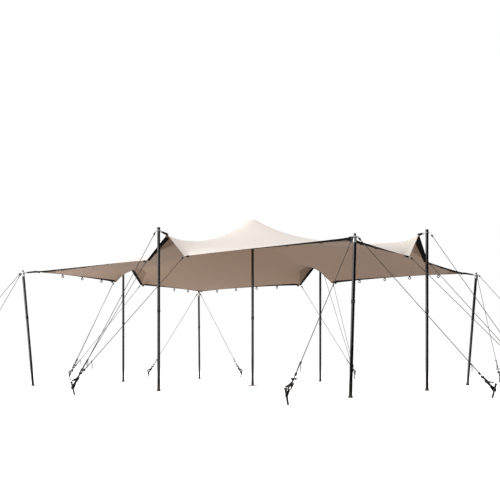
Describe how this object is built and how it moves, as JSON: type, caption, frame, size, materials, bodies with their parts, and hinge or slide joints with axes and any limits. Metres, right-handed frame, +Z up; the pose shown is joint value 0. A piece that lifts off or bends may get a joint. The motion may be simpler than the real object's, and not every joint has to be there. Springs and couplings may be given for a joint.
{
  "type": "stretch tent",
  "caption": "Open-sided stretch tent: one tensioned fabric canopy with a domed peak, gables at the side poles, leaning corner poles, guy ropes, ratchets and ground stakes.",
  "frame": {"origin": "on the ground under the centre pole, in the middle of its base plate's underside", "axes": "+X along the long side, +Y to the back, +Z up; the front long side faces -Y"},
  "size_m": [13.9384, 11.4788, 4.215],
  "materials": {
    "canopy": "coated stretch fabric, cream outside and taupe inside",
    "webbing": "black woven webbing",
    "pole": "satin black coated tube",
    "link": "zinc plated",
    "rope": "braided guy rope",
    "anchor": "black painted steel"
  },
  "bodies": {
    "root": {"canopy": "canopy", "hem_webbing": "webbing", "pole_centre": "pole", "pole_side_front": "pole", "pole_side_right": "pole", "pole_side_back": "pole", "pole_side_left": "pole", "pole_corner_front_left": "pole", "pole_corner_front_right": "pole", "pole_corner_back_right": "pole", "pole_corner_back_left": "pole", "link_front_left": "link", "link_front_right": "link", "link_back_right": "link", "link_back_left": "link", "link_front": "link", "link_right": "link", "link_back": "link", "link_left": "link", "anchor_front_left_1": "anchor", "guy_front_left_1": "rope", "anchor_front_left_2": "anchor", "guy_front_left_2": "rope", "anchor_front_right_1": "anchor", "guy_front_right_1": "rope", "anchor_front_right_2": "anchor", "guy_front_right_2": "rope", "anchor_back_right_1": "anchor", "guy_back_right_1": "rope", "anchor_back_right_2": "anchor", "guy_back_right_2": "rope", "anchor_back_left_1": "anchor", "guy_back_left_1": "rope", "anchor_back_left_2": "anchor", "guy_back_left_2": "rope", "anchor_front": "anchor", "guy_front_top": "rope", "guy_front_eave_1": "rope", "guy_front_eave_2": "rope", "anchor_right": "anchor", "guy_right_top": "rope", "guy_right_eave_1": "rope", "guy_right_eave_2": "rope", "anchor_back": "anchor", "guy_back_top": "rope", "guy_back_eave_1": "rope", "guy_back_eave_2": "rope", "anchor_left": "anchor", "guy_left_top": "rope", "guy_left_eave_1": "rope", "guy_left_eave_2": "rope"}
  },
  "joints": []
}
